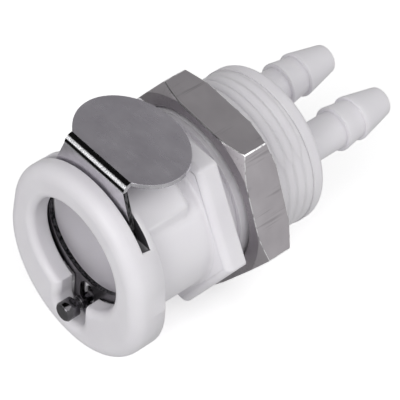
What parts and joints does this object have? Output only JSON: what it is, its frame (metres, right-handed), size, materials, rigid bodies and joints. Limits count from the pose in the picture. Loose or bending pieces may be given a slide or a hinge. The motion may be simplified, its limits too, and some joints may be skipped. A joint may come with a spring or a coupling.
{
  "type": "panel mount twin tube quick disconnect coupling",
  "caption": "Moulded quick disconnect coupling body with a thumb latch, a panel nut and two hose barbs that each have a shut-off valve.",
  "frame": {"origin": "on the coupling axis, in the plane of the shoulder face that seats on the panel", "axes": "+Y along the coupling axis towards the hose barbs, +Z towards the thumb latch, +X to the right seen from the socket"},
  "size_m": [0.0366, 0.0611, 0.0374],
  "materials": {
    "moulded_white": "satin moulded acetal",
    "latch_steel": "stamped and brushed stainless sheet",
    "pin_steel": "dark polished steel",
    "nut_metal": "machined and plated",
    "spring_steel": "drawn wire",
    "seal_rubber": "moulded elastomer",
    "valve_plastic": "moulded acetal"
  },
  "bodies": {
    "housing": {"body_shell": "moulded_white", "barb_manifold": "moulded_white", "latch_spring": "spring_steel", "pin_spring": "spring_steel", "valve_spring_left": "spring_steel", "valve_spring_right": "spring_steel", "manifold_o_ring_left": "seal_rubber", "manifold_o_ring_right": "seal_rubber"},
    "latch": {"thumb_latch": "latch_steel"},
    "pin": {"release_pin": "pin_steel"},
    "nut": {"panel_nut": "nut_metal"},
    "left_valve": {"valve_poppet_left": "valve_plastic", "poppet_o_ring_left": "seal_rubber"},
    "right_valve": {"valve_poppet_right": "valve_plastic", "poppet_o_ring_right": "seal_rubber"}
  },
  "joints": [
    {"name": "latch_press", "type": "slide", "parent": "housing", "child": "latch", "axis": [0, 0, -1], "range_m": [0, 0.0018], "stiffness_N_per_m": 900, "springref_m": -0.002, "deforming": ["latch_spring"]},
    {"name": "pin_press", "type": "slide", "parent": "housing", "child": "pin", "axis": [0, 1, 0], "range_m": [0, 0.0011], "stiffness_N_per_m": 300, "springref_m": -0.0015, "deforming": ["pin_spring"]},
    {"name": "nut_turn", "type": "hinge", "parent": "housing", "child": "nut", "pos_m": [0, 0.0063, 0], "axis": [0, 1, 0], "continuous": true},
    {"name": "left_valve_open", "type": "slide", "parent": "housing", "child": "left_valve", "axis": [0, 1, 0], "range_m": [0, 0.0025], "stiffness_N_per_m": 250, "springref_m": -0.0015, "deforming": ["valve_spring_left"]},
    {"name": "right_valve_open", "type": "slide", "parent": "housing", "child": "right_valve", "axis": [0, 1, 0], "range_m": [0, 0.0025], "stiffness_N_per_m": 250, "springref_m": -0.0015, "deforming": ["valve_spring_right"]}
  ]
}
